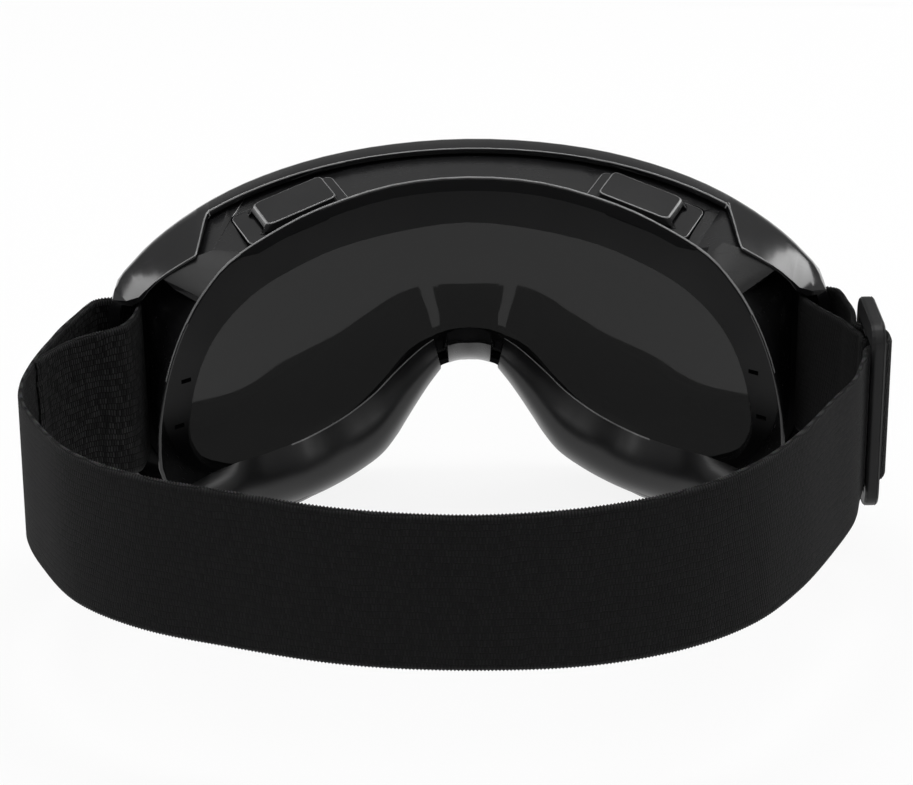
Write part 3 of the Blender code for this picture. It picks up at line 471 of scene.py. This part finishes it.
back_to_buckle = [(79.4, 29.4), (81.3, 25.0), (83.8, 20.4), (85.7, 16.6), (86.4, 14.2), (87.8, 10.2),
                  (88.4, 8.7), (88.4, 5.9), (88.7, 5.2), (89.4, 4.95), (91.6, 4.95), (92.3, 5.2),
                  (92.6, 5.9), (92.6, 9.3), (92.3, 10.1), (91.6, 10.35), (90.1, 10.35)]
strap_line = smooth_line(sewn_left + round_head + to_buckle + to_bar + back_to_buckle, RIB_STEP)


def place_of(line, point):
    """The number of the point on the line that is nearest to the given one."""
    return int(np.argmin(np.linalg.norm(line - np.array(point) * MM, axis=1)))


# How the worn band hangs, at points of its line: how far its top and its bottom edge stand out
# and are lifted from an upright band, in millimetres. The first four are in the sewn loop, whose
# points come first on the line, and the band passes near them again.
SEWN_HANGS = 4
SOFTEN_OVER = 30
sewn_points = place_of(strap_line, sewn_left[-1])
hang = [(-96.85, -1.5, 0, 0, 0, 0), (-86.8, 15.2, 0, 0, 0, -0.6), (-78.4, 24.8, 0, 0, 0, -5.4),
        (-78.2, 36.4, 0, 0, 0, -3.8), (-89.6, 33.8, 0, 0, 0, 0), (-96.6, 6.0, 0, 0, 0, 0),
        (-97.0, -22.5, 0, 0.2, 0.8, 0), (-83.0, -51.6, 0, 0.9, 0.6, 0),
        (-50.0, -72.4, 0, 1.2, 0, 0), (-26.0, -80.0, 0, 0.2, 0, -0.4), (0.0, -82.6, 0, -0.4, 0, -0.6),
        (24.0, -79.8, 0, -0.2, 0.3, -1.2), (57.0, -61.2, 0, 0.2, 1.2, -1.7),
        (76.8, -30.2, 0, 0.6, 1.5, -1.3), (86.0, -9.2, 0, 0.3, 0.3, -0.2), (88.0, -0.8, 0, 0, 0, 0)]
hang_knots = [place_of(strap_line[:sewn_points], point[:2]) for point in hang[:SEWN_HANGS]]
hang_knots += [place_of(strap_line[sewn_points:], point[:2]) + sewn_points for point in hang[SEWN_HANGS:]]
hang_at = np.array([np.interp(np.arange(len(strap_line)), hang_knots, [point[k] * MM for point in hang])
                    for k in range(2, 6)])
soften = np.hanning(2 * SOFTEN_OVER + 1)
soften /= soften.sum()
hang_at = np.array([np.convolve(np.pad(row, SOFTEN_OVER, mode="edge"), soften, mode="valid")
                    for row in hang_at])


def mixed(tree, share, first, second, blend="MIX"):
    """Mixes two colours, the second by its share."""
    mix = shader_node(tree, "Mix", settings={"data_type": "RGBA", "blend_type": blend},
                      Factor=share, A=first, B=second)
    return mix.outputs["Result"]


def elastic_weave(name):
    """Black elastic: swaying ribs that the worn band draws flat, paler looped edges that are partly a painted
    highlight, painted shade on the sewn flap and laced runs, and a dry fuzz.
    """
    material, tree, thread = new_skin(name)
    place = shader_node(tree, "UVMap", settings={"uv_map": "UVMap"}).outputs["UV"]
    spot = shader_node(tree, "SeparateXYZ", Vector=place)
    drift = shader_node(tree, "TexNoise", Vector=place, Scale=110, Detail=2).outputs["Fac"]
    sway = shader_node(tree, "CombineXYZ", Y=graded(tree, drift, 0, 1, -1.1 * MM, 1.1 * MM))
    wavy = shader_node(tree, "VectorMath", place, sway.outputs["Vector"], settings={"operation": "ADD"})
    ribs = shader_node(tree, "TexBrick", Vector=wavy.outputs["Vector"], Scale=1.0, Brick_Width=0.66 * MM,
                       Row_Height=1.4 * MM, Mortar_Size=0.2 * MM, Mortar_Smooth=0.8,
                       Color1=(0.0560, 0.0560, 0.0570, 1), Color2=(0.0050, 0.0050, 0.0053, 1),
                       Mortar=(0.0006, 0.0006, 0.0007, 1))
    fuzz = shader_node(tree, "TexNoise", Vector=place, Scale=5200, Detail=3)

    drawn = graded(tree, spot.outputs["X"], 75 * MM, 120 * MM, 0.0, 0.84)
    calm = mixed(tree, drawn, ribs.outputs["Color"], (0.0145, 0.0145, 0.0150, 1))
    from_middle = shader_node(tree, "Math", spot.outputs["Y"], settings={"operation": "ABSOLUTE"})
    at_edge = graded(tree, from_middle.outputs["Value"], 16.0 * MM, 16.8 * MM, 0, 1)
    # The looped edges are paler, partly as a painted highlight where light catches the beads
    edge_loops_highlight = mixed(tree, ribs.outputs["Fac"], (0.055, 0.055, 0.056, 1), (0.016, 0.016, 0.0164, 1))
    looped = mixed(tree, at_edge, calm, edge_loops_highlight)

    # The sewn flap and the runs laced through the buckle get painted shade, a darker colour for the shade of
    # the outer layer
    strap_long = len(strap_line) * RIB_STEP
    flap_end = place_of(strap_line[:sewn_points], sewn_left[10]) * RIB_STEP / strap_long
    laced = place_of(strap_line, to_buckle[-1]) * RIB_STEP / strap_long
    painted_shade_share = colour_ramp(tree, graded(tree, spot.outputs["X"], 0, strap_long, 0, 1),
                         (flap_end, (0.3, 0.3, 0.3)), (flap_end + 0.03, (0, 0, 0)),
                         (laced, (0, 0, 0)), (laced + 0.03, (0.6, 0.6, 0.6)))
    with_painted_shade = mixed(tree, painted_shade_share, looped, (0.0008, 0.0008, 0.0009, 1))
    hollow = shader_node(tree, "Math", ribs.outputs["Fac"], -1.0, fuzz.outputs["Fac"],
                         settings={"operation": "MULTIPLY_ADD"})
    relief = shader_node(tree, "Bump", Strength=0.8, Distance=0.22 * MM, Height=hollow.outputs["Value"])
    plug(tree, thread.inputs["Base Color"], mixed(tree, 0.6, with_painted_shade, fuzz.outputs["Color"], "MULTIPLY"))
    plug(tree, thread.inputs["Roughness"], graded(tree, fuzz.outputs["Fac"], 0, 1, 0.62, 0.9))
    plug(tree, thread.inputs["Specular IOR Level"], 0.09)
    plug(tree, thread.inputs["Sheen Weight"], 0.012)
    plug(tree, thread.inputs["Sheen Roughness"], 0.5)
    plug(tree, thread.inputs["Normal"], relief.outputs["Normal"])
    return material


weave = elastic_weave("elastic_weave_black")
half = STRAP_WIDE / 2
ROWS = np.array([-half, -half + 0.35 * MM, -half + 0.9 * MM, -half + 2 * MM, -12 * MM, -8 * MM, -4 * MM, 0.0,
                 4 * MM, 8 * MM, 12 * MM, half - 2 * MM, half - 0.9 * MM, half - 0.35 * MM, half])
EDGE_LOOP = 0.16 * MM
EDGE_THIN = 0.3
BESIDE_EDGE_THIN = 0.75
CUT_UNEVEN = 0.45 * MM
CUT_WAVE = 2.4
CUT_UNEVEN_STEPS = 6
CUT_THIN_STEPS = 4
CUT_THIN_GAIN = 0.15


def webbing(name, first, last):
    """A stretch of the strap, from one point of its line to another. Its first end is cut and uneven."""
    line = strap_line[first:last + 1]
    count, rows = len(line), len(ROWS)
    piece, along, across = flat_sheet(name, count, rows)
    ahead = np.gradient(strap_line, axis=0)[first:last + 1]
    ahead /= np.linalg.norm(ahead, axis=1)[:, None]
    outward = np.stack([ahead[:, 1], -ahead[:, 0]], axis=1)
    out_top, lift_top, out_low, lift_low = hang_at[:, first:last + 1]
    loop = EDGE_LOOP * np.where((along + first) % 2 == 0, 1.0, -1.0)
    high = ROWS[across] + np.where(across == 0, -loop, np.where(across == rows - 1, loop, 0))
    share = (high + half) / STRAP_WIDE
    out = out_low[along] + (out_top - out_low)[along] * share
    lift = lift_low[along] + (lift_top - lift_low)[along] * share
    placed = np.column_stack([line[along, 0] + outward[along, 0] * out,
                              line[along, 1] + outward[along, 1] * out, STRAP_MIDDLE + high + lift])
    if first == 0:
        uneven = CUT_UNEVEN * np.sin(across * CUT_WAVE) * np.clip(1 - along / CUT_UNEVEN_STEPS, 0, 1)
        placed[:, :2] += ahead[along] * uneven[:, None]
    piece.data.vertices.foreach_set("co", placed.ravel())
    corner = np.empty(len(piece.data.loops), int)
    piece.data.loops.foreach_get("vertex_index", corner)
    weave_map = np.column_stack([(along[corner] + first) * RIB_STEP, ROWS[across[corner]]])
    piece.data.uv_layers[0].data.foreach_set("uv", weave_map.ravel())
    thin = piece.vertex_groups.new(name="thickness")
    edge_share = {0: EDGE_THIN, 1: BESIDE_EDGE_THIN, rows - 2: BESIDE_EDGE_THIN, rows - 1: EDGE_THIN}
    for row in range(rows):
        thin.add(np.flatnonzero(across == row).tolist(), edge_share.get(row, 1.0), "REPLACE")
    if first == 0:
        for step in range(CUT_THIN_STEPS):
            thin.add(np.flatnonzero(along == step).tolist(), EDGE_THIN + CUT_THIN_GAIN * step, "REPLACE")
    thick = piece.modifiers.new("webbing_thickness", "SOLIDIFY")
    thick.thickness = STRAP_THICK
    thick.offset = 0
    thick.vertex_group = "thickness"
    apply_all(piece)
    bpy.ops.object.shade_smooth_by_angle(angle=math.radians(60))
    coat(piece, weave)
    return piece


# The strap is made in four lengths
side_cut = place_of(strap_line, round_head[-1])
bulge_top = place_of(strap_line, to_buckle[-1])
bar_inside = place_of(strap_line, to_bar[-1])
band = webbing("strap_band", 0, side_cut)
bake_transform(band)
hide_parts("strap")
rear_run = webbing("strap_to_buckle", side_cut, bulge_top)
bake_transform(rear_run)
front_run = webbing("strap_to_bar", bulge_top, bar_inside)
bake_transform(front_run)
return_layer = webbing("strap_return", bar_inside, len(strap_line) - 1)
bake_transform(return_layer)

# Buckle: a flat three-bar slide moulded in tough dark-grey nylon, with a fine satin grain. The
# strap is laced over its middle bar, and its frame holds the webbing's edges.
BUCKLE_MAIN, BUCKLE_HIGHLIGHT = range(2)
nylon_finish = dict(glossy=0.36, dull=0.48, grain=1500, grain_height=0.06 * MM, wear=0.08, shine=0.2)
buckle = merged_copy("buckle", "slide_buckle")
coat(buckle,
     moulded_plastic("buckle_satin_nylon", (0.013, 0.013, 0.0135), (0.022, 0.022, 0.0225), **nylon_finish),
     moulded_plastic("buckle_edge_painted_highlight", (0.14, 0.14, 0.141), (0.22, 0.22, 0.221), **nylon_finish))
round_edges(buckle, 0.55 * MM, angle=32, edge_slot=BUCKLE_HIGHLIGHT)
# Only the outer rear edges keep the pale painted highlight
for face in buckle.data.polygons:
    outer_rear = 0.5 < face.normal.x < 0.9 and face.normal.y < -0.35 and abs(face.normal.z) < 0.3
    if not outer_rear:
        face.material_index = BUCKLE_MAIN
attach(buckle, "buckle")
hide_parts("buckle")

# Studio: a pale floor in a soft grey room, with one box lamp overhead, one ahead at each side and
# one above and behind the camera, which looks at the goggles from behind and above.
FLOOR_OWN_WHITE = 0.88
bpy.ops.object.select_all(action="DESELECT")
bpy.ops.mesh.primitive_plane_add(size=30, location=(0, 0, -0.2 * MM))
floor = bpy.context.active_object
floor.name = "pale_floor"
bpy.ops.object.transform_apply(location=True, rotation=True, scale=True)
floor_white = bpy.data.materials.new("floor_white")
floor_white.use_nodes = True
tree = floor_white.node_tree
tree.nodes.clear()

# Seen directly or in a reflection, the floor is mostly white of its own and keeps a faint shadow
rays = shader_node(tree, "LightPath").outputs
seen = rays["Is Camera Ray"]
for ray in ("Is Glossy Ray", "Is Transmission Ray"):
    seen = shader_node(tree, "Math", seen, rays[ray], settings={"operation": "MAXIMUM"}).outputs["Value"]
part_white = shader_node(tree, "Math", seen, FLOOR_OWN_WHITE, settings={"operation": "MULTIPLY"})
paper = shader_node(tree, "BsdfDiffuse", Color=(0.86, 0.86, 0.86, 1))
white = shader_node(tree, "Emission", Strength=1.0)
surface = shader_node(tree, "MixShader", part_white.outputs["Value"], paper.outputs["BSDF"],
                      white.outputs["Emission"])
shader_node(tree, "OutputMaterial", Surface=surface.outputs["Shader"])
coat(floor, floor_white)

world = bpy.data.worlds.new("soft_room")
bpy.context.scene.world = world
world.use_nodes = True
tree = world.node_tree
direction = shader_node(tree, "TexCoord").outputs["Generated"]
height = shader_node(tree, "SeparateXYZ", Vector=direction).outputs["Z"]
room_levels = ((0.0, 0.22), (0.26, 0.15), (0.5, 0.28), (0.71, 0.45), (1.0, 0.55))
room_grey = colour_ramp(tree, height, *[(stop, (level, level, level)) for stop, level in room_levels])
plug(tree, tree.nodes["Background"].inputs["Color"], room_grey)

for name, spot, aim, wide, deep, power in (
        ("overhead_box", (0.0, 0.15, 1.1), (0.0, 0.0, 0.04), 0.9, 0.35, 6.0),
        ("left_box", (-0.82, 0.525, 0.62), (0.0, 0.03, 0.06), 0.42, 0.56, 2.3),
        ("right_box", (0.735, 0.635, 0.62), (0.0, 0.03, 0.06), 0.42, 0.56, 3.0),
        ("rear_box", (0.0, -0.80, 0.95), (0.0, 0.03, 0.05), 0.4, 0.75, 1.2)):
    bpy.ops.object.light_add(type="AREA", location=spot)
    lamp = bpy.context.active_object
    lamp.name = name
    lamp.data.shape = "RECTANGLE"
    lamp.data.size = wide
    lamp.data.size_y = deep
    lamp.data.energy = power
    lamp.rotation_euler = (Vector(aim) - Vector(spot)).to_track_quat("-Z", "Y").to_euler()

PHOTO_WIDE_PIXELS = 913
FOCAL_PIXELS = 2688
SENSOR_WIDE = 36
CAMERA_AWAY = 0.640
looked_at = Vector((-0.0033, 0.03375, 0.040))
tilt, roll = math.radians(23), math.radians(-0.85)
ahead = Vector((0, math.cos(tilt), -math.sin(tilt)))
right = Vector((1, 0, 0))
up = Vector((0, math.sin(tilt), math.cos(tilt)))
turned_right = right * math.cos(roll) + up * math.sin(roll)
turned_up = up * math.cos(roll) - right * math.sin(roll)
bpy.ops.object.camera_add()
camera = bpy.context.active_object
camera.name = "photo_camera"
camera.data.sensor_width = SENSOR_WIDE
camera.data.lens = FOCAL_PIXELS * SENSOR_WIDE / PHOTO_WIDE_PIXELS
camera.data.clip_start = 0.01
turn = Matrix((turned_right, turned_up, -ahead)).transposed().to_4x4()
camera.matrix_world = Matrix.Translation(looked_at - ahead * CAMERA_AWAY) @ turn
bpy.context.scene.camera = camera
bpy.context.scene.view_settings.view_transform = "Standard"
